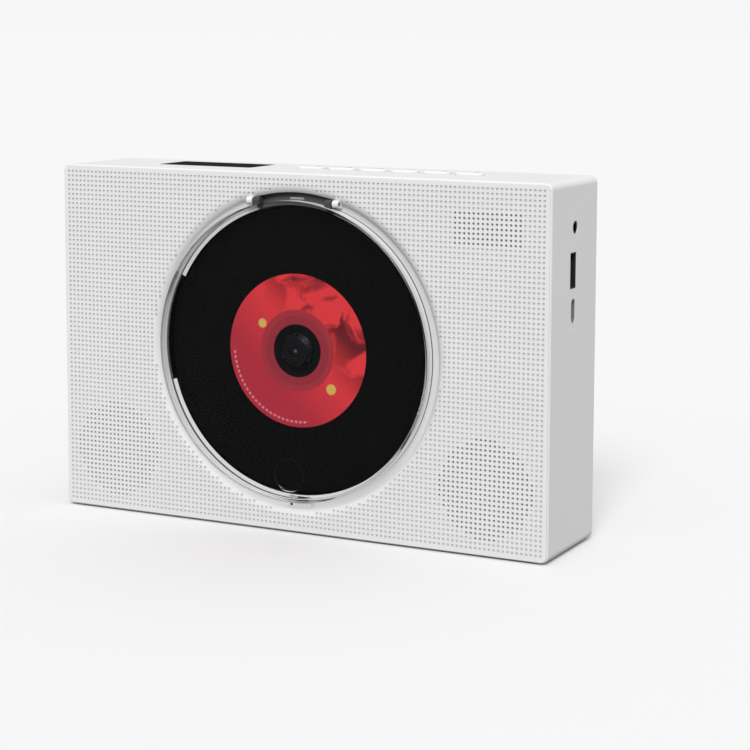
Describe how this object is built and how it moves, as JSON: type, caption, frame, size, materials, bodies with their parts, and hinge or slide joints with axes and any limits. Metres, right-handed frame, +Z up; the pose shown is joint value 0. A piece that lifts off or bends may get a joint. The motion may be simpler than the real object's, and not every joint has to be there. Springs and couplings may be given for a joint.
{
  "type": "wall mounted cd player",
  "caption": "Flat box-shaped disc player with a round clear hinged cover over the disc, perforated speaker fields, top keys and side ports, for a wall or a shelf.",
  "frame": {"origin": "on the surface that the feet stand on, under the middle of the player's overall box", "axes": "+X to the right seen from the front, along the keys; +Y from the front to the wall; +Z up"},
  "size_m": [0.228, 0.0536, 0.1516],
  "materials": {
    "shell_white": "fine satin white moulding",
    "grille_white": "perforated satin white",
    "key_white": "smooth white key",
    "clear_plastic": "clear polished plastic",
    "black_gloss": "black glossy moulding",
    "black_plastic": "black plastic",
    "disc_print": "black disc with a plain red label",
    "display_window": "dark tinted window",
    "foot_rubber": "soft dark rubber",
    "foam": "closed-cell foam",
    "screw_steel": "dark zinc-plated screw",
    "bright_steel": "ground bright steel",
    "motor_can": "drawn steel can",
    "basket_steel": "black pressed steel",
    "magnet": "plated magnet cup",
    "cone_paper": "black paper cone",
    "chassis_plastic": "black glass-filled plastic",
    "pickup_metal": "die-cast sled",
    "gear_plastic": "natural acetal",
    "battery_wrap": "shrink-wrapped flat cell",
    "circuit_board": "green circuit board",
    "port_metal": "plated socket shell"
  },
  "bodies": {
    "player": {"front_shell": "shell_white", "rear_cover": "shell_white", "cover_screws": "screw_steel", "rubber_feet": "foot_rubber", "speaker_grille_left": "grille_white", "speaker_grille_right": "grille_white", "sensor_grille": "grille_white", "hinge_pins": "bright_steel", "hinge_well": "black_gloss", "disc_deck": "black_gloss", "deck_screws": "screw_steel", "lid_switch": "black_plastic", "spindle_motor": "motor_can", "mech_chassis": "chassis_plastic", "guide_rods": "bright_steel", "rubber_dampers": "foot_rubber", "shoulder_screws": "screw_steel", "gear_stud": "bright_steel", "sled_motor": "motor_can", "speaker_gaskets": "foam", "speaker_frame_left": "basket_steel", "speaker_frame_right": "basket_steel", "speaker_cone_left": "cone_paper", "speaker_cone_right": "cone_paper", "speaker_magnets": "magnet", "battery_pad": "foam", "battery": "battery_wrap", "display_lens": "display_window", "display_module": "black_plastic", "key_board": "circuit_board", "key_switches": "black_plastic", "key_board_screws": "screw_steel", "main_board": "circuit_board", "board_screws": "screw_steel", "board_parts": "black_plastic", "headphone_jack": "black_plastic", "usb_a_socket": "port_metal", "usb_c_socket": "port_metal", "charge_lamp": "clear_plastic", "sensor_frame": "foam", "sensor_board": "circuit_board"},
    "cover": {"clear_cover": "clear_plastic"},
    "spindle": {"disc": "disc_print", "spindle_hub": "black_plastic", "hub_balls": "bright_steel", "spindle_shaft": "bright_steel"},
    "sled": {"pickup_sled": "pickup_metal", "lens_unit": "black_plastic", "sled_rack": "gear_plastic"},
    "drive_gear": {"sled_gear": "gear_plastic"},
    "pinion": {"motor_pinion": "gear_plastic", "sled_motor_shaft": "bright_steel"},
    "power_key": {"key_power": "key_white"},
    "mode_key": {"key_mode": "key_white"},
    "previous_key": {"key_previous": "key_white"},
    "play_key": {"key_play": "key_white"},
    "next_key": {"key_next": "key_white"},
    "repeat_key": {"key_repeat": "key_white"}
  },
  "joints": [
    {"name": "cover_hinge", "type": "hinge", "parent": "player", "child": "cover", "pos_m": [0, -0.023, 0.1386], "axis": [-1, 0, 0], "range_deg": [0, 90]},
    {"name": "disc_spin", "type": "hinge", "parent": "player", "child": "spindle", "pos_m": [0, -0.0184, 0.0766], "axis": [0, 1, 0], "continuous": true},
    {"name": "drive_gear_spin", "type": "hinge", "parent": "player", "child": "drive_gear", "pos_m": [0.032, -0.0032, 0.05288], "axis": [0, 1, 0], "range_deg": [0, 450.5]},
    {"name": "sled_travel", "type": "slide", "parent": "player", "child": "sled", "axis": [1, 0, 0], "range_m": [0, 0.033]},
    {"name": "pinion_spin", "type": "hinge", "parent": "player", "child": "pinion", "pos_m": [0.022, -0.0032, 0.04538], "axis": [0, 1, 0], "range_deg": [-1802, 0]},
    {"name": "power_press", "type": "slide", "parent": "player", "child": "power_key", "axis": [0, 0, -1], "range_m": [0, 0.0008], "stiffness_N_per_m": 200, "springref_m": -0.0005},
    {"name": "mode_press", "type": "slide", "parent": "player", "child": "mode_key", "axis": [0, 0, -1], "range_m": [0, 0.0008], "stiffness_N_per_m": 200, "springref_m": -0.0005},
    {"name": "previous_press", "type": "slide", "parent": "player", "child": "previous_key", "axis": [0, 0, -1], "range_m": [0, 0.0008], "stiffness_N_per_m": 200, "springref_m": -0.0005},
    {"name": "play_press", "type": "slide", "parent": "player", "child": "play_key", "axis": [0, 0, -1], "range_m": [0, 0.0008], "stiffness_N_per_m": 200, "springref_m": -0.0005},
    {"name": "next_press", "type": "slide", "parent": "player", "child": "next_key", "axis": [0, 0, -1], "range_m": [0, 0.0008], "stiffness_N_per_m": 200, "springref_m": -0.0005},
    {"name": "repeat_press", "type": "slide", "parent": "player", "child": "repeat_key", "axis": [0, 0, -1], "range_m": [0, 0.0008], "stiffness_N_per_m": 200, "springref_m": -0.0005}
  ],
  "couplings": [
    {"joint": "drive_gear_spin", "follows": "sled_travel", "rad_per_m": 238.09},
    {"joint": "pinion_spin", "follows": "sled_travel", "rad_per_m": -952.38}
  ]
}
